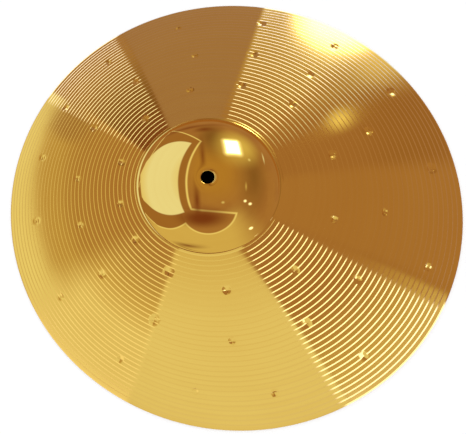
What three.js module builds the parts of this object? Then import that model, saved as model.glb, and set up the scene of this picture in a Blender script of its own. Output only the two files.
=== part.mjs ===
// A 16 inch crash cymbal: one spun, lathed and hammered sheet of brass with a raised bell and one
// hole on its axis. Millimetres, +Z up. The origin is on the axis in the plane that the rim rests on.
// The whole cymbal is a surface of revolution. upperHeight gives its playing side, and the underside
// follows it one sheet thickness below.
import * as THREE from "three";

// Driving dimensions
const RIM_RADIUS = 203.2; // 16 inch diameter
const SHEET = 1.0; // metal thickness, measured square to the surface
const BOW_HEIGHT = 26.4; // rise of the bow from the rim, carried on to the axis
const BOW_POWER = 2.2; // 2 is a plain parabola; more makes the bow flatter towards the bell
const BELL_SPAN = 68; // half axes of the ellipse that the bell's dome follows
const BELL_DEPTH = 35;
const SEAT_HEIGHT = 43; // the level ring round the hole that the stand's felts press on
const SEAT_RADIUS = 10;
const HOLE_RADIUS = 5.25; // passes an 8 mm rod in its sleeve
const SHOULDER_BLEND = 0.8; // height over which the bell runs into the bow
const RIM_LAND = 1.0; // width of the level edge that the cymbal rests on

// How finely the outline is sampled
const SEGMENTS = 72; // around the axis
const DOME_STEPS = 8; // from the seat to the shoulder
const SHOULDER_STEPS = 5; // through the shoulder
const BOW_STEPS = 9; // from the shoulder to the rim
const SHOULDER_START = 56;
const SHOULDER_END = 64;

// The bow is a shallow crown that reaches the sheet's thickness at the rim.
function bowHeight(r) {
  return SHEET + BOW_HEIGHT * (1 - (r / RIM_RADIUS) ** BOW_POWER);
}

// How far the bell's ellipse has dropped below its top at a radius.
function domeDrop(r) {
  return BELL_DEPTH * (1 - Math.sqrt(1 - (r / BELL_SPAN) ** 2));
}

function domeHeight(r) {
  return SEAT_HEIGHT + domeDrop(SEAT_RADIUS) - domeDrop(r);
}

// The higher of the bell and the bow, with the inside corner between them rounded.
function upperHeight(r) {
  if (r >= SHOULDER_END) return bowHeight(r);
  const dome = domeHeight(Math.max(r, SEAT_RADIUS));
  const bow = bowHeight(r);
  const overlap = Math.max(SHOULDER_BLEND - Math.abs(dome - bow), 0);
  return Math.max(dome, bow) + overlap ** 2 / (4 * SHOULDER_BLEND);
}

// The point one sheet thickness below the playing side, square to it.
function undersidePoint(r) {
  const step = 0.01;
  const slope = (upperHeight(r + step) - upperHeight(r - step)) / (2 * step);
  const tilt = Math.atan(slope);
  return new THREE.Vector2(r + SHEET * Math.sin(tilt), upperHeight(r) - SHEET * Math.cos(tilt));
}

// Evenly spaced radii from one to another, the last one left to the stretch that follows.
function stretch(from, to, steps) {
  return Array.from({ length: steps }, (_, i) => from + ((to - from) * i) / steps);
}

// Radii of the outline between the seat and the rim, closest together where it bends most.
const radii = [
  ...stretch(SEAT_RADIUS, SHOULDER_START, DOME_STEPS).slice(1),
  ...stretch(SHOULDER_START, SHOULDER_END, SHOULDER_STEPS),
  ...stretch(SHOULDER_END, RIM_RADIUS, BOW_STEPS),
];

// The closed outline of the sheet, from the hole out along the underside, round the rim, and back
// to the hole along the playing side.
function outline() {
  const upperSeat = SEAT_HEIGHT;
  const lowerSeat = SEAT_HEIGHT - SHEET;
  const underside = radii.map(undersidePoint);
  const playingSide = radii.map((r) => new THREE.Vector2(r, upperHeight(r)));
  return [
    new THREE.Vector2(HOLE_RADIUS, lowerSeat),
    new THREE.Vector2(SEAT_RADIUS, lowerSeat),
    ...underside,
    new THREE.Vector2(RIM_RADIUS - RIM_LAND, 0),
    new THREE.Vector2(RIM_RADIUS, 0),
    new THREE.Vector2(RIM_RADIUS, SHEET),
    ...playingSide.reverse(),
    new THREE.Vector2(SEAT_RADIUS, upperSeat),
    new THREE.Vector2(HOLE_RADIUS, upperSeat),
    new THREE.Vector2(HOLE_RADIUS, lowerSeat),
  ];
}

// Lathed brass, bright gold with a satin finish from the tool marks.
function makeCymbal() {
  const geometry = new THREE.LatheGeometry(outline(), SEGMENTS);
  geometry.rotateX(Math.PI / 2); // a lathe turns about Y, and the cymbal's axis is Z
  const brass = new THREE.MeshStandardMaterial({ color: 0xb9873f, roughness: 0.28, metalness: 1 });
  const mesh = new THREE.Mesh(geometry, brass);
  mesh.name = "cymbal";
  return mesh;
}

const crashCymbal = new THREE.Group();
crashCymbal.name = "crash_cymbal";
crashCymbal.add(makeCymbal());

export default crashCymbal;
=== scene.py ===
"""A 16 inch crash cymbal laid bell up on a pale studio floor. Metres, +Z up, in the CAD frame.

The CAD node is the plain spun sheet. It is stood for here by the same sheet with its lathe grooves,
hammer marks and bevelled hole, cut from the same outline formula.
"""
import math

import bmesh
import bpy
import numpy as np
from mathutils import Matrix, Vector


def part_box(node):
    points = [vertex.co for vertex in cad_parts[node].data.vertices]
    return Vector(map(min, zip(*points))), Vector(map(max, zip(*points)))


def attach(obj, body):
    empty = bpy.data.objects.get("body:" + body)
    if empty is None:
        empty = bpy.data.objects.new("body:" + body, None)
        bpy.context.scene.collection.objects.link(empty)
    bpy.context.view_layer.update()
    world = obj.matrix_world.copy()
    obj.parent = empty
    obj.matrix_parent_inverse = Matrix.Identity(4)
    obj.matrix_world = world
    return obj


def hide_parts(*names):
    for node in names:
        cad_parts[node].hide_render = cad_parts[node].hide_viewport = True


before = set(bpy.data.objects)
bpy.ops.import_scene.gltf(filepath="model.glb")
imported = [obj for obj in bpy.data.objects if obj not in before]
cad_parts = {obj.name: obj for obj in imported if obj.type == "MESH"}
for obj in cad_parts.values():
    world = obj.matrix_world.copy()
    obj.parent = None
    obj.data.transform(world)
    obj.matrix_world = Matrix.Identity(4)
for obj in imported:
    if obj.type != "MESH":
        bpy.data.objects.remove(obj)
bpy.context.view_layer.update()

MM = 0.001

# ---------------------------------------------------------------- the sheet's outline, as in the CAD
high_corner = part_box("cymbal")[1]
RIM_RADIUS = high_corner.x
SEAT_HEIGHT = high_corner.z
SHEET = 1.0 * MM
BOW_HEIGHT = 26.4 * MM
BOW_POWER = 2.2
BELL_SPAN = 68 * MM
BELL_DEPTH = 35 * MM
SEAT_RADIUS = 10 * MM
HOLE_RADIUS = 5.25 * MM
SHOULDER_BLEND = 0.8 * MM
SHOULDER_START = 55 * MM
SHOULDER_END = 64 * MM
RIM_LAND = 1.0 * MM
SEAT_MARGIN = 1 * MM  # the outline's points keep this far from the edge of the seat
BOW_END = RIM_RADIUS - 3 * MM  # the last point of the underside before the level edge

# ---------------------------------------------------------------- what the lathe and hammer add
GROOVES = 35
FIRST_GROOVE = 0.303 * RIM_RADIUS
LAST_GROOVE_END = 0.993 * RIM_RADIUS
PITCH = (LAST_GROOVE_END - FIRST_GROOVE) / GROOVES
GROOVE_DEPTH = 0.31 * MM
STEEPEST_WALL = math.radians(23)  # the wall of the groove next to the bell
SHALLOWEST_WALL = math.radians(13)  # the wall of the groove next to the rim
HOLE_BEVEL = 0.6 * MM
UNDERSIDE_ROUND = 0.2 * MM  # corners of the hole and the rim below
RIM_ROUND = 0.25 * MM  # corner of the rim above
RIM_TOP = 0.97 * SHEET
RIM_FACE_TOP = 0.7 * SHEET
RIM_FACE_FOOT = 0.3 * SHEET
POLISH_END = 60.2 * MM  # the bell is polished out to here
DENT_RADIUS = 3.4 * MM
DENT_DEPTH = 0.92 * MM
DENT_FALL = 1.6  # more makes the marks narrower
DENT_LIP = 0.5  # more makes the metal stand prouder round them
# radius as a share of the rim's, how much that swings round the ring, count, first angle
DENT_RINGS = ((0.445, 0.07, 12, 9), (0.64, 0.05, 14, 43), (0.86, 0.033, 15, 0))
DENT_SWING_TOWARDS = 0.2  # radians; the rings of marks stand farthest out here
DENT_WANDER = 3  # degrees that a mark strays along its ring

# ---------------------------------------------------------------- how finely it is cut
SEGMENTS = 288  # around the axis
DOME_RINGS = 20
SHOULDER_RINGS = 19
BOW_RINGS = 50  # of the underside, which has no grooves
SLOPE_STEP = 0.01 * MM
DENT_CUTS = 5  # how often an edge near a hammer mark is cut
DENT_REACH = 1.3  # how near, in radii of the mark
CREASE = math.radians(8)  # faces that meet at more than this meet in a sharp edge
ROUNDING = 1e-6  # differences below this come from rounding


def bow_height(r):
    """The bow is a shallow crown that comes down to the sheet's thickness at the rim."""
    return SHEET + BOW_HEIGHT * (1 - (r / RIM_RADIUS) ** BOW_POWER)


def dome_drop(r):
    """How far the bell's ellipse has dropped below its top at a radius."""
    return BELL_DEPTH * (1 - np.sqrt(1 - (r / BELL_SPAN) ** 2))


def upper_height(r):
    """The playing side's height at a radius, without grooves."""
    r = np.asarray(r, float)
    inside = np.clip(r, SEAT_RADIUS, SHOULDER_END)
    dome = SEAT_HEIGHT + dome_drop(SEAT_RADIUS) - dome_drop(inside)
    bow = bow_height(r)
    overlap = np.maximum(SHOULDER_BLEND - abs(dome - bow), 0)
    blended = np.maximum(dome, bow) + overlap**2 / (4 * SHOULDER_BLEND)
    return np.where(r >= SHOULDER_END, bow, blended)


def wall_share(groove):
    """How much of the pitch a groove's wall takes. The walls are steepest next to the bell."""
    outward = (np.asarray(groove) + 0.5) / GROOVES
    tilt = STEEPEST_WALL + (SHALLOWEST_WALL - STEEPEST_WALL) * outward
    return GROOVE_DEPTH / np.tan(tilt) / PITCH


def groove_depth(r):
    """Depth of cut at a radius. Each groove drops down a wall that faces the rim, then runs back up."""
    turns = (np.asarray(r, float) - FIRST_GROOVE) / PITCH
    groove = np.floor(turns + ROUNDING)
    phase = np.clip(turns - groove, 0, 1)
    wall = wall_share(groove)
    depth = GROOVE_DEPTH * np.minimum(phase / wall, (1 - phase) / (1 - wall))
    return np.where((groove >= 0) & (groove < GROOVES), depth, 0)


def dent_places():
    """Where the hammer marks are, as (x, y): rings that stand out to one side and wander a little."""
    places = []
    for share, swing, count, first in DENT_RINGS:
        for i in range(count):
            wander = DENT_WANDER * math.sin(5 * i + 90 * share)
            angle = math.radians(first + 360 * i / count + wander)
            radius = (share + swing * math.cos(angle - DENT_SWING_TOWARDS)) * RIM_RADIUS
            places.append((radius * math.cos(angle), radius * math.sin(angle)))
    return places


def dent_depth(x, y):
    """How far the hammer has pushed the sheet down at a point, both faces alike."""
    depth = np.zeros_like(x)
    for px, py in dent_places():
        away = np.hypot(x - px, y - py) / DENT_RADIUS
        depth += DENT_DEPTH * np.exp(-(away**2) * DENT_FALL) * (1 - DENT_LIP * away**2)
    return depth


def groove_radii():
    """Radii through every groove: the top of its wall, the foot of it, and two more on the way up."""
    radii = []
    for groove in range(GROOVES):
        wall = float(wall_share(groove))
        for share in (0, wall, wall + (1 - wall) / 3, wall + (1 - wall) * 2 / 3):
            radii.append(FIRST_GROOVE + (groove + share) * PITCH)
    return radii


def playing_side_point(r):
    return r, float(upper_height(r) - groove_depth(r))


def underside_point(r):
    """The point one sheet thickness below the playing side, square to it."""
    rise = float(upper_height(r + SLOPE_STEP) - upper_height(r - SLOPE_STEP))
    tilt = math.atan(rise / (2 * SLOPE_STEP))
    return r + SHEET * math.sin(tilt), float(upper_height(r)) - SHEET * math.cos(tilt)


def outline():
    """The closed outline as (radius, height) from the hole out on top, round the rim and back below."""
    dome = list(np.linspace(SEAT_RADIUS + SEAT_MARGIN, SHOULDER_START, DOME_RINGS))
    shoulder = list(np.linspace(SHOULDER_START, FIRST_GROOVE, SHOULDER_RINGS))[1:-1]
    bow = list(np.linspace(FIRST_GROOVE, BOW_END, BOW_RINGS))
    playing_side = dome + shoulder + groove_radii() + [LAST_GROOVE_END]
    underside = dome + shoulder + bow
    lower_seat = SEAT_HEIGHT - SHEET
    return np.array([
        (HOLE_RADIUS, SEAT_HEIGHT - HOLE_BEVEL),
        (HOLE_RADIUS + 0.25 * HOLE_BEVEL, SEAT_HEIGHT - 0.4 * HOLE_BEVEL),  # rounds the bevel
        (HOLE_RADIUS + HOLE_BEVEL, SEAT_HEIGHT),
        (SEAT_RADIUS - SEAT_MARGIN, SEAT_HEIGHT),
        *map(playing_side_point, playing_side),
        (RIM_RADIUS - RIM_ROUND, RIM_TOP),
        (RIM_RADIUS, RIM_FACE_TOP),
        (RIM_RADIUS, RIM_FACE_FOOT),
        (RIM_RADIUS - UNDERSIDE_ROUND, 0),
        (RIM_RADIUS - RIM_LAND, 0),
        *map(underside_point, reversed(underside)),
        (SEAT_RADIUS - SEAT_MARGIN, lower_seat),
        (HOLE_RADIUS + UNDERSIDE_ROUND, lower_seat),
        (HOLE_RADIUS, lower_seat + UNDERSIDE_ROUND),
    ])


def make_cymbal():
    """Turns the outline about the axis, then adds the creases and the hammer marks."""
    rings = outline()
    turn = np.arange(SEGMENTS) * 2 * np.pi / SEGMENTS
    x = np.outer(rings[:, 0], np.cos(turn))
    y = np.outer(rings[:, 0], np.sin(turn))
    z = np.repeat(rings[:, 1:2], SEGMENTS, axis=1)
    points = np.stack([x, y, z], -1).reshape(-1, 3)
    ring = np.arange(len(rings))[:, None] * SEGMENTS + np.arange(SEGMENTS)[None, :]
    next_ring = np.roll(ring, -1, axis=0)
    corners = [ring, next_ring, np.roll(next_ring, -1, axis=1), np.roll(ring, -1, axis=1)]
    quads = np.stack(corners, -1).reshape(-1, 4)
    mesh = bpy.data.meshes.new("cymbal_sheet")
    mesh.from_pydata(points.tolist(), [], quads.tolist())
    mesh.shade_smooth()
    crease_and_refine(mesh)
    press_dents(mesh)
    obj = bpy.data.objects.new("cymbal_sheet", mesh)
    bpy.context.scene.collection.objects.link(obj)
    return obj


def runs_round_the_axis(edge):
    one, two = (vert.co for vert in edge.verts)
    same_radius = abs(one.xy.length - two.xy.length) < ROUNDING
    same_height = abs(one.z - two.z) < ROUNDING
    return same_radius and same_height


def crease_and_refine(mesh):
    """Makes the corners of the grooves sharp, and cuts the faces round each hammer mark finer."""
    bm = bmesh.new()
    bm.from_mesh(mesh)
    places = np.array(dent_places())
    cut = []
    for edge in bm.edges:
        middle = (edge.verts[0].co + edge.verts[1].co) / 2
        if not runs_round_the_axis(edge) or middle.xy.length < FIRST_GROOVE:
            continue
        first, second = edge.link_faces
        edge.smooth = first.normal.angle(second.normal) < CREASE
        nearest = np.hypot(places[:, 0] - middle.x, places[:, 1] - middle.y).min()
        if nearest < DENT_RADIUS * DENT_REACH + edge.calc_length() / 2:
            cut.append(edge)
    bmesh.ops.subdivide_edges(bm, edges=cut, cuts=DENT_CUTS, use_grid_fill=True)
    bm.to_mesh(mesh)
    bm.free()


def press_dents(mesh):
    """Moves every point down by the hammer mark there, but none below the floor."""
    points = np.empty(len(mesh.vertices) * 3)
    mesh.vertices.foreach_get("co", points)
    points = points.reshape(-1, 3)
    points[:, 2] -= dent_depth(points[:, 0], points[:, 1])
    points[:, 2] = np.maximum(points[:, 2], 0)
    mesh.vertices.foreach_set("co", points.ravel())
    mesh.update()


# ---------------------------------------------------------------- node helpers


def link_or_set(tree, socket, value):
    if isinstance(value, bpy.types.NodeSocket):
        tree.links.new(value, socket)
    else:
        socket.default_value = value


def maths(tree, operation, *values):
    node = tree.nodes.new("ShaderNodeMath")
    node.operation = operation
    for socket, value in zip(node.inputs, values):
        link_or_set(tree, socket, value)
    return node.outputs[0]


def vector_maths(tree, operation, one, two=None):
    node = tree.nodes.new("ShaderNodeVectorMath")
    node.operation = operation
    link_or_set(tree, node.inputs[0], one)
    socket = node.inputs["Scale"] if operation == "SCALE" else node.inputs[1]
    if two is not None:
        link_or_set(tree, socket, two)
    return node.outputs[0]


def flat_length(tree, x, y):
    """The length of a vector in a plane."""
    squares = maths(tree, "MULTIPLY_ADD", x, x, maths(tree, "MULTIPLY", y, y))
    return maths(tree, "SQRT", squares)


def split_vector(tree, vector):
    node = tree.nodes.new("ShaderNodeSeparateXYZ")
    tree.links.new(vector, node.inputs[0])
    return node.outputs


def join_vector(tree, *parts):
    node = tree.nodes.new("ShaderNodeCombineXYZ")
    for socket, part in zip(node.inputs, parts):
        tree.links.new(part, socket)
    return node.outputs[0]


def mix_colour(tree, factor, one, two):
    node = tree.nodes.new("ShaderNodeMix")
    node.data_type = "RGBA"
    link_or_set(tree, node.inputs[0], factor)
    for socket, value in ((node.inputs[6], one), (node.inputs[7], two)):
        link_or_set(tree, socket, value if isinstance(value, bpy.types.NodeSocket) else (*value, 1))
    return node.outputs[2]


def smooth_step(tree, value, low, high):
    """0 below low, 1 above high, and a smooth rise between them; low and high may change places."""
    node = tree.nodes.new("ShaderNodeMapRange")
    node.interpolation_type = "SMOOTHSTEP"
    link_or_set(tree, node.inputs["Value"], value)
    node.inputs["From Min"].default_value = low
    node.inputs["From Max"].default_value = high
    return node.outputs[0]


def noise(tree, vector, scale, detail):
    node = tree.nodes.new("ShaderNodeTexNoise")
    node.inputs["Scale"].default_value = scale
    node.inputs["Detail"].default_value = detail
    tree.links.new(vector, node.inputs["Vector"])
    return node.outputs["Fac"]


# ---------------------------------------------------------------- brass

BRASS = (0.86, 0.60, 0.115)
DEEP_BRASS = (0.82, 0.55, 0.10)
RING_STRETCH = 0.01  # how little the tint changes round a ring, against across it
QUARTER_TURN = 0.25  # lays the anisotropy across the rings


def new_material(name):
    material = bpy.data.materials.new(name)
    material.use_nodes = True
    tree = material.node_tree
    return material, tree, tree.nodes["Principled BSDF"]


def ring_coordinates(tree, place):
    """A vector on which noise makes rings round the axis, and the direction outward from the axis."""
    x, y, _ = split_vector(tree, place)
    radius = flat_length(tree, x, y)
    little_x = maths(tree, "MULTIPLY", x, RING_STRETCH)
    little_y = maths(tree, "MULTIPLY", y, RING_STRETCH)
    rings = join_vector(tree, radius, little_x, little_y)
    outward = join_vector(tree, maths(tree, "DIVIDE", x, radius), maths(tree, "DIVIDE", y, radius))
    return rings, outward


def leant_normal(tree, outward, height, steepness):
    """The surface's normal leant in and out along the radius, by a height that is 0.5 on average."""
    normal = tree.nodes.new("ShaderNodeNewGeometry").outputs["Normal"]
    lean = maths(tree, "MULTIPLY", maths(tree, "SUBTRACT", height, 0.5), steepness)
    to_world = tree.nodes.new("ShaderNodeVectorTransform")
    to_world.vector_type = "NORMAL"
    to_world.convert_from = "OBJECT"
    to_world.convert_to = "WORLD"
    tree.links.new(outward, to_world.inputs[0])
    leant = vector_maths(tree, "ADD", normal, vector_maths(tree, "SCALE", to_world.outputs[0], lean))
    return vector_maths(tree, "NORMALIZE", leant)


def brass(name, roughness, spread, anisotropy, steepness):
    """Yellow brass. Roughness 0 is a mirror polish; anisotropy spreads reflections along the radius."""
    material, tree, shader = new_material(name)
    place = tree.nodes.new("ShaderNodeTexCoord").outputs["Object"]
    rings, outward = ring_coordinates(tree, place)
    broad_rings = noise(tree, rings, scale=260, detail=2)
    patches = noise(tree, place, scale=14, detail=4)
    waves = noise(tree, place, scale=30, detail=1)
    tint = maths(tree, "MULTIPLY", maths(tree, "ADD", broad_rings, patches), 0.5)
    tint = smooth_step(tree, tint, 0.2, 0.8)
    tree.links.new(mix_colour(tree, tint, BRASS, DEEP_BRASS), shader.inputs["Base Color"])
    shader.inputs["Metallic"].default_value = 1
    shader.inputs["Roughness"].default_value = roughness
    if spread:
        rough = maths(tree, "MULTIPLY_ADD", patches, spread, roughness - spread / 2)
        tree.links.new(rough, shader.inputs["Roughness"])
    if anisotropy:
        shader.inputs["Anisotropic"].default_value = anisotropy
        shader.inputs["Anisotropic Rotation"].default_value = QUARTER_TURN
        tangent = tree.nodes.new("ShaderNodeTangent")
        tangent.direction_type = "RADIAL"
        tangent.axis = "Z"
        tree.links.new(tangent.outputs[0], shader.inputs["Tangent"])
    tree.links.new(leant_normal(tree, outward, waves, steepness), shader.inputs["Normal"])
    return material


# ---------------------------------------------------------------- floor, painted shade disc and camera

FLOOR_SIZE = 6
FLOOR_HEIGHT = -0.3 * MM
# The black disc under the cymbal is painted shade: it stands for the shadow there.
SHADE_DISC_RADIUS = 150 * MM
SHADE_DISC_HEIGHT = -0.1 * MM

CAMERA_PLACE = Vector((-24, -61, 241)) * MM
CAMERA_AIM = Vector((-66, -21, 0)) * MM
SENSOR_WIDTH = 36
CLIP_START = 10 * MM
FOCAL_IN_WIDTHS = 0.536481  # focal length as a share of the picture's width
SHIFT = (0.2103, -0.006438)


def matt(name, grey, roughness, specular):
    material, _, shader = new_material(name)
    shader.inputs["Base Color"].default_value = (grey, grey, grey, 1)
    shader.inputs["Roughness"].default_value = roughness
    shader.inputs["Specular IOR Level"].default_value = specular
    return material


def make_floor():
    """White paper that isn't reflected, and a black disc of painted shade that stands for the shadow
    under the cymbal, seen through the hole.
    """
    bpy.ops.mesh.primitive_plane_add(size=FLOOR_SIZE, location=(0, 0, FLOOR_HEIGHT))
    floor = bpy.context.object
    floor.name = "floor"
    floor.data.materials.append(matt("floor_paper", grey=0.92, roughness=0.9, specular=0.1))
    floor.visible_glossy = False
    # A black disc of painted shade under the cymbal, standing for its shadow as seen through the hole.
    place = (0, 0, SHADE_DISC_HEIGHT)
    bpy.ops.mesh.primitive_circle_add(vertices=64, radius=SHADE_DISC_RADIUS, fill_type="NGON", location=place)
    shade_disc = bpy.context.object
    shade_disc.name = "painted_shade_disc"
    shade_disc.data.materials.append(matt("painted_shade_black", grey=0.004, roughness=1, specular=0))


def make_camera():
    data = bpy.data.cameras.new("camera")
    data.sensor_width = SENSOR_WIDTH
    data.lens = FOCAL_IN_WIDTHS * data.sensor_width
    data.shift_x, data.shift_y = SHIFT
    data.clip_start = CLIP_START
    camera = bpy.data.objects.new("camera", data)
    bpy.context.scene.collection.objects.link(camera)
    back = (CAMERA_PLACE - CAMERA_AIM).normalized()
    right = Vector((0, 1, 0)).cross(back).normalized()  # Y stands upright in the picture
    up = back.cross(right)
    turn = Matrix((right, up, back)).transposed().to_4x4()
    camera.matrix_world = Matrix.Translation(CAMERA_PLACE) @ turn
    bpy.context.scene.camera = camera


# ---------------------------------------------------------------- tones of the studio
# Each is the light that falls on the metal from one part of the sky.

BROWN = (0.42, 0.235, 0.19)
WARM_BROWN = (0.46, 0.27, 0.21)
DEEP_BROWN = (0.37, 0.20, 0.14)
COOL_BROWN = (0.424, 0.285, 0.34)
DULL_BROWN = (0.46, 0.30, 0.25)
WAVE_BROWN = (0.42, 0.27, 0.22)
SURROUND_BROWN = (0.40, 0.22, 0.15)
DARK = (0.26, 0.15, 0.10)
RED_DARK = (0.22, 0.07, 0.05)
HAZEL = (0.50, 0.33, 0.24)
OCHRE = (0.52, 0.32, 0.16)
AMBER = (0.52, 0.37, 0.30)
DEEP_SAND = (0.58, 0.43, 0.30)
SAND = (0.60, 0.46, 0.33)
PALE_AMBER = (0.60, 0.47, 0.38)
GOLD = (0.68, 0.56, 0.45)
FLOOR_GOLD = (0.76, 0.67, 0.58)
HALO_GOLD = (0.8, 0.72, 0.5)
DULL_LIGHT = (0.78, 0.70, 0.64)
FADED_LIGHT = (0.92, 0.80, 0.70)
FLAT_LIGHT = (0.86, 0.84, 0.92)
SOFT_LIGHT = (0.87, 0.86, 0.97)
LIGHT = (0.90, 0.91, 1.06)
LIGHTER = (0.97, 1.02, 1.22)
LINE_LIGHT = (1.0, 1.02, 1.15)
PALE = (0.97, 1.12, 1.90)
PAPER_WHITE = (1.12, 1.12, 1.12)
FAINT_STRIP = (1.15, 1.15, 1.5)
SOFT_STRIP = (1.7, 1.9, 3.3)
LINE_STRIP = (2.0, 2.3, 4.5)
STRIP = (2.4, 2.7, 5.5)
GLOW = (1.4, 1.4, 1.4)
GLINT = (1.6, 1.6, 1.3)
HALO = (1.6, 1.7, 2.5)
BLAZE = (4.5, 4.8, 6.5)
LAMP = (12.0, 12.0, 12.0)

# ---------------------------------------------------------------- shapes laid out on the sky


def sky_plane(tree):
    """The direction a ray leaves in, as two angles in degrees away from straight up, along X and Y."""
    x, y, z = split_vector(tree, tree.nodes.new("ShaderNodeTexCoord").outputs["Generated"])
    level = maths(tree, "MAXIMUM", flat_length(tree, x, y), 1e-4)  # never 0, as it divides below
    away = maths(tree, "MULTIPLY", maths(tree, "ARCTAN2", level, z), 180 / math.pi)
    share = maths(tree, "DIVIDE", away, level)
    return maths(tree, "MULTIPLY", x, share), maths(tree, "MULTIPLY", y, share)


def bearing_off(tree, bearing, middle):
    """Degrees from one bearing to another, the short way round."""
    return maths(tree, "WRAP", maths(tree, "SUBTRACT", bearing, middle), 180, -180)


def sector_mask(tree, bearing, start, end, soft):
    """1 inside a wedge of sky from one bearing to another."""
    off = bearing_off(tree, bearing, (start + end) / 2)
    inside = maths(tree, "SUBTRACT", (end - start) / 2, maths(tree, "ABSOLUTE", off))
    return smooth_step(tree, inside, -soft, soft)


def away_from(tree, u, v, centre):
    """Distance and bearing in degrees from a point of the sky plane."""
    du = maths(tree, "SUBTRACT", u, centre[0])
    dv = maths(tree, "SUBTRACT", v, centre[1])
    bearing = maths(tree, "MULTIPLY", maths(tree, "ARCTAN2", dv, du), 180 / math.pi)
    return flat_length(tree, du, dv), bearing


def box_distance(tree, u, v, centre, half, corner):
    """How far outside a box with round corners; less than 0 inside."""
    out_u = maths(tree, "ABSOLUTE", maths(tree, "SUBTRACT", u, centre[0]))
    out_v = maths(tree, "ABSOLUTE", maths(tree, "SUBTRACT", v, centre[1]))
    out_u = maths(tree, "SUBTRACT", out_u, half[0] - corner)
    out_v = maths(tree, "SUBTRACT", out_v, half[1] - corner)
    past = flat_length(tree, maths(tree, "MAXIMUM", out_u, 0), maths(tree, "MAXIMUM", out_v, 0))
    within = maths(tree, "MINIMUM", maths(tree, "MAXIMUM", out_u, out_v), 0)
    return maths(tree, "ADD", past, maths(tree, "SUBTRACT", within, corner))


def oval_distance(tree, u, v, centre, half):
    """About how far outside an oval; less than 0 inside."""
    across = maths(tree, "DIVIDE", maths(tree, "SUBTRACT", u, centre[0]), half[0])
    along = maths(tree, "DIVIDE", maths(tree, "SUBTRACT", v, centre[1]), half[1])
    past = maths(tree, "SUBTRACT", flat_length(tree, across, along), 1)
    return maths(tree, "MULTIPLY", past, min(half))


def corner_distance(tree, *sides):
    """How far outside a shape bounded by several (value, limit) sides; less than 0 inside."""
    distance = -1000.0  # deeper inside than any side can be
    for value, limit in sides:
        distance = maths(tree, "MAXIMUM", maths(tree, "SUBTRACT", value, limit), distance)
    return distance


def squared(tree, value, middle, share):
    """A parabola: the square of how far a value is from a middle one, times a share."""
    off = maths(tree, "SUBTRACT", value, middle)
    return maths(tree, "MULTIPLY", maths(tree, "MULTIPLY", off, off), share)


def paint(tree, colour, distance, soft, tone):
    """Lays a tone over the colour where the distance is less than 0."""
    return mix_colour(tree, smooth_step(tree, distance, soft, -soft), colour, tone)


def paint_ovals(tree, colour, u, v, ovals):
    for centre, half, soft, tone in ovals:
        colour = paint(tree, colour, oval_distance(tree, u, v, centre, half), soft, tone)
    return colour


def ramp(tree, value, stops):
    """A tone that changes along a value given in degrees, from 0 to 100."""
    node = tree.nodes.new("ShaderNodeValToRGB")
    elements = node.color_ramp.elements
    elements.remove(elements[1])
    for i, (place, tone) in enumerate(stops):
        element = elements[0] if i == 0 else elements.new(place / 100)
        element.position = place / 100
        element.color = (*tone, 1)
    tree.links.new(maths(tree, "MULTIPLY", value, 0.01), node.inputs[0])
    return node.outputs[0]


# ---------------------------------------------------------------- what the lathed bow reflects
# Tones by distance from the pivot, in degrees. The lands of the grooves reflect the high sky, up to
# about 60, and their walls the low sky, from about 64 to 97.

SECTOR_PIVOT = (4.5, 15.0)
GROUND_STOPS = (
    (0, BROWN),
    (34, BROWN),
    (44, DEEP_BROWN),
    (56, DEEP_BROWN),
    (70, WARM_BROWN),
)
RIGHT_STOPS = (
    (0, WARM_BROWN),
    (97, WARM_BROWN),
    (100, PALE),
)
TOP_RIGHT_STOPS = (
    (8, BROWN),
    (24, AMBER),
    (40, PALE_AMBER),
    (52, GOLD),
    (64, LINE_STRIP),
    (97, LINE_STRIP),
    (100, GOLD),
)
FADED_STOPS = (
    (20, WARM_BROWN),
    (42, AMBER),
    (52, GOLD),
    (64, GOLD),
    (72, PALE),
    (97, PALE),
    (100, GOLD),
)
TOP_STOPS = (
    (0, COOL_BROWN),
    (91, COOL_BROWN),
    (97, STRIP),
)
TOP_LEFT_STOPS = (
    (10, RED_DARK),
    (25, DARK),
    (45, DULL_BROWN),
    (62, BROWN),
    (68, SOFT_STRIP),
    (97, SOFT_STRIP),
    (100, GOLD),
)
LEFT_STOPS = (
    (15, WARM_BROWN),
    (36, HAZEL),
    (41, SAND),
    (49, DEEP_SAND),
    (51.5, LIGHTER),
    (62, LIGHTER),
    (67, DULL_LIGHT),
    (100, DULL_LIGHT),
)
LOWER_LEFT_STOPS = (
    (10, WARM_BROWN),
    (22, AMBER),
    (34, GOLD),
    (44, SOFT_LIGHT),
    (60, SOFT_LIGHT),
    (66, FAINT_STRIP),
    (97, FAINT_STRIP),
    (100, GOLD),
)
BOTTOM_STOPS = (
    (10, DULL_LIGHT),
    (35, LIGHT),
    (62, LIGHT),
    (68, FLAT_LIGHT),
)
LOWER_RIGHT_STOPS = (
    (10, BROWN),
    (40, WARM_BROWN),
    (56, GOLD),
    (63, GOLD),
    (68, LINE_STRIP),
    (97, LINE_STRIP),
    (100, GOLD),
)
# from bearing, to bearing, softness, tones; later sectors are laid over earlier ones
SECTORS = (
    (-28, 2, 3.0, RIGHT_STOPS),
    (33, 69, 0.8, TOP_RIGHT_STOPS),
    (29, 39, 4.0, FADED_STOPS),
    (69, 114, 0.8, TOP_STOPS),
    (114, 144, 0.8, TOP_LEFT_STOPS),
    (144, 235, 0.8, LEFT_STOPS),
    (214, 262, 9.0, LOWER_LEFT_STOPS),
    (250, 301, 1.0, BOTTOM_STOPS),
    (301, 332, 0.8, LOWER_RIGHT_STOPS),
)
# bearing, distance from the pivot, half size, softness, tone
SPOTS = (
    (22, 33.5, (1.7, 2.0), 2.2, GLINT),
    (35, 54, (8.0, 7.0), 6.0, FADED_LIGHT),
    (43, 55, (7.0, 5.0), 5.0, GLOW),
    (49, 54, (9.0, 8.0), 4.0, BLAZE),
    (150, 42, (6.5, 8.0), 2.0, WAVE_BROWN),
)


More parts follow.
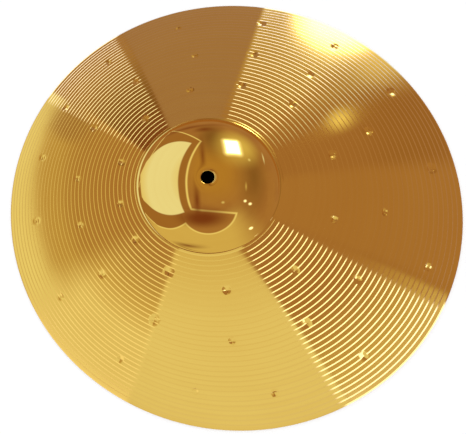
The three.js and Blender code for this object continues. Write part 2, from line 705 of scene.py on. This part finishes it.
def bow_sky(tree, u, v):
    """Wedges of tone round the pivot, with a few soft spots on them."""
    away, bearing = away_from(tree, u, v, SECTOR_PIVOT)
    colour = ramp(tree, away, GROUND_STOPS)
    for start, end, soft, stops in SECTORS:
        mask = sector_mask(tree, bearing, start, end, soft)
        colour = mix_colour(tree, mask, colour, ramp(tree, away, stops))
    for spot_bearing, spot_away, half, soft, tone in SPOTS:
        off = bearing_off(tree, bearing, spot_bearing)
        off = maths(tree, "MULTIPLY", off, math.radians(spot_away))
        spot = oval_distance(tree, off, away, (0, spot_away), half)
        colour = paint(tree, colour, spot, soft, tone)
    return colour


# ---------------------------------------------------------------- what the polished bell reflects
# Laid out in degrees along X and Y (u and v) from a middle of its own. The limits called LEFT and
# BOTTOM are those of -u and -v.

BELL_SKY_MIDDLE = (4.5, -2.0)
CARD_PIVOT = (0, 17)
LIT_FLOOR = (205, 312, 20)  # from bearing, to bearing, softness
LIT_FROM = 30  # degrees away from the pivot
LIT_FULLY = 50
EDGE_SOFT = 0.9
HOLLOW = (10, 0.007)  # middle and bend of the right edge that the card and its surround share
SURROUND_RIGHT = -18
SURROUND_TOP = (1.2, 55)  # slope, limit
SURROUND_FAR_TOP = (-1.3, 140)
SURROUND_FOOT = (-48, 0.0155)  # middle, bend
SURROUND_BOTTOM = 37.5
SURROUND_LINE = 1.8  # width of the pale line round the surround
PATCH = ((2, -15), (26, 25.5))  # centre and half size of the dark oval under the surround
TABLE = (0.13, -13.8)  # slope, limit; the patch is cut off along this line
CARD_LEFT = 84
CARD_RIGHT = -25.5
CARD_TOP = 67
CARD_BOTTOM = 18.3
CARD_ENDS = (-39, 0.0125)  # middle and bend of its round top and bottom
CARD_STOPS = (
    (20, LIGHT),
    (34, PALE),
    (66, PALE),
    (82, LIGHT),
)
LAMP_CENTRE = (27, 50)
LAMP_HALF = (6.5, 8)
LAMP_CORNER = 1
LAMP_SOFT = 1.4
HALO_WIDTH = 2
HALO_SOFT = 3
# The rest are ovals: centre, half size, softness, tone.
DIM_SHAPES = (
    ((8, 26), (22, 26), 14, OCHRE),
    ((10, 62), (11, 18), 11, DARK),
)
DIM_RIGHT = (((46, 20), (9, 20), 16, DARK),)
RED_SHADE = (((-4, -21), (20, 9), 7, RED_DARK),)
GOLD_SHEEN = (((33, 52), (16, 16), 14, HALO_GOLD),)
SPARKLES = (
    ((36.5, -4), (1.1, 0.9), 1.2, STRIP),
    ((42.5, -7), (1.4, 1.0), 1.2, STRIP),
    ((52, -37), (2.6, 1.8), 1.2, STRIP),
    ((15, -5), (1.0, 0.8), 1.2, LIGHT),
    ((37, 10), (0.6, 2.0), 1.2, DULL_LIGHT),
    ((42, 37), (1.2, 1.2), 1.2, LIGHT),
    ((62, 44), (0.8, 4.0), 1.2, PALE),
)
# Dark ovals on the bell's sky: painted reflection that shows as dark marks on the polished bell.
DARK_MARKS_IN_BELL_SKY = (
    ((-8, -2), (2.0, 11), 3, RED_DARK),
    ((-1, 40), (1.2, 10), 3, RED_DARK),
    ((4, 78), (6, 3), 5, RED_DARK),
    ((-12, 88), (16, 2), 5, RED_DARK),
    ((-24, -66), (12, 3), 6, RED_DARK),
)


def sloping(tree, u, v, slope):
    """A value that is level along a line of that slope."""
    return maths(tree, "MULTIPLY_ADD", u, slope, v)


def paint_room(tree, u, v, away, bearing):
    """The dim room behind the shapes: uneven browns, and a floor that is lit away from the bell."""
    way = tree.nodes.new("ShaderNodeTexCoord").outputs["Generated"]
    grain = noise(tree, way, scale=3, detail=2)
    colour = mix_colour(tree, smooth_step(tree, grain, 0.35, 0.65), BROWN, WARM_BROWN)
    colour = paint_ovals(tree, colour, u, v, DIM_SHAPES)
    on_floor = sector_mask(tree, bearing, *LIT_FLOOR)
    lit = smooth_step(tree, away, LIT_FROM, LIT_FULLY)
    colour = mix_colour(tree, maths(tree, "MULTIPLY", on_floor, lit), colour, FLOOR_GOLD)
    return paint_ovals(tree, colour, u, v, DIM_RIGHT)


def paint_surround(tree, colour, u, v, bent_u, below):
    """The dark surround of the card and the patch under it, with a pale line round both."""
    surround = corner_distance(
        tree,
        (bent_u, SURROUND_RIGHT),
        (sloping(tree, u, v, SURROUND_TOP[0]), SURROUND_TOP[1]),
        (sloping(tree, u, v, SURROUND_FAR_TOP[0]), SURROUND_FAR_TOP[1]),
        (maths(tree, "ADD", below, squared(tree, u, *SURROUND_FOOT)), SURROUND_BOTTOM),
    )
    table = maths(tree, "SUBTRACT", sloping(tree, u, v, TABLE[0]), TABLE[1])
    patch = maths(tree, "MAXIMUM", oval_distance(tree, u, v, *PATCH), table)
    both = maths(tree, "MINIMUM", surround, patch)
    line = maths(tree, "SUBTRACT", both, SURROUND_LINE)
    colour = paint(tree, colour, line, EDGE_SOFT, LINE_LIGHT)
    colour = paint(tree, colour, surround, EDGE_SOFT, SURROUND_BROWN)
    colour = paint(tree, colour, patch, EDGE_SOFT, WARM_BROWN)
    return paint_ovals(tree, colour, u, v, RED_SHADE)


def paint_card(tree, colour, u, v, bent_u, below, away):
    """The pale card, with a hollow right edge and a round top and bottom."""
    round_ends = squared(tree, u, *CARD_ENDS)
    card = corner_distance(
        tree,
        (bent_u, CARD_RIGHT),
        (maths(tree, "ADD", v, round_ends), CARD_TOP),
        (maths(tree, "ADD", below, round_ends), CARD_BOTTOM),
        (maths(tree, "MULTIPLY", u, -1), CARD_LEFT),
    )
    return paint(tree, colour, card, EDGE_SOFT, ramp(tree, away, CARD_STOPS))


def paint_lamp(tree, colour, u, v):
    """A square lamp with a halo, on a golden sheen."""
    colour = paint_ovals(tree, colour, u, v, GOLD_SHEEN)
    lamp = box_distance(tree, u, v, LAMP_CENTRE, LAMP_HALF, LAMP_CORNER)
    halo = maths(tree, "SUBTRACT", lamp, HALO_WIDTH)
    colour = paint(tree, colour, halo, HALO_SOFT, HALO)
    return paint(tree, colour, lamp, LAMP_SOFT, LAMP)


def bell_sky(tree, u, v):
    """A big pale card in a dark surround, a lamp, small sparkles, and a dim room between them."""
    u = maths(tree, "SUBTRACT", u, BELL_SKY_MIDDLE[0])
    v = maths(tree, "SUBTRACT", v, BELL_SKY_MIDDLE[1])
    away, bearing = away_from(tree, u, v, CARD_PIVOT)
    bent_u = maths(tree, "SUBTRACT", u, squared(tree, v, *HOLLOW))
    below = maths(tree, "MULTIPLY", v, -1)
    colour = paint_room(tree, u, v, away, bearing)
    colour = paint_surround(tree, colour, u, v, bent_u, below)
    colour = paint_card(tree, colour, u, v, bent_u, below, away)
    colour = paint_lamp(tree, colour, u, v)
    colour = paint_ovals(tree, colour, u, v, SPARKLES)
    # Last come the dark ovals, painted reflection that darkens spots of the bell.
    return paint_ovals(tree, colour, u, v, DARK_MARKS_IN_BELL_SKY)


# ---------------------------------------------------------------- the sky as a whole

BOUNCED_TWICE = 2.5  # the ray depth is 2 after one bounce off the metal, and 3 after two


def make_world():
    """One sky for each of the two finishes, since they reflect different parts of the studio."""
    world = bpy.data.worlds.new("studio")
    bpy.context.scene.world = world
    world.use_nodes = True
    world.cycles.sampling_method = "NONE"
    tree = world.node_tree
    u, v = sky_plane(tree)
    path = tree.nodes.new("ShaderNodeLightPath")
    # A mirror polish sends on "singular" rays, and a lathed finish doesn't.
    polished = path.outputs["Is Singular Ray"]
    colour = mix_colour(tree, polished, bow_sky(tree, u, v), bell_sky(tree, u, v))
    # What the bell shows of the bow next to it stays dull.
    twice = maths(tree, "GREATER_THAN", path.outputs["Ray Depth"], BOUNCED_TWICE)
    colour = mix_colour(tree, twice, colour, WARM_BROWN)
    # The background is white, and so is the light on the floor.
    seen = maths(tree, "MAXIMUM", path.outputs["Is Camera Ray"], path.outputs["Is Diffuse Ray"])
    colour = mix_colour(tree, seen, colour, PAPER_WHITE)
    tree.links.new(colour, tree.nodes["Background"].inputs["Color"])


# ---------------------------------------------------------------- the whole scene

cymbal = make_cymbal()
cymbal.data.materials.append(
    brass("lathed_brass", roughness=0.09, spread=0.02, anisotropy=1.0, steepness=0.02)
)
cymbal.data.materials.append(
    brass("polished_brass", roughness=0, spread=0, anisotropy=0, steepness=0.02)
)
for face in cymbal.data.polygons:
    face.material_index = int(face.center.xy.length < POLISH_END)
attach(cymbal, "root")
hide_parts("cymbal")
make_floor()
make_camera()
make_world()
bpy.context.scene.view_settings.view_transform = "Standard"
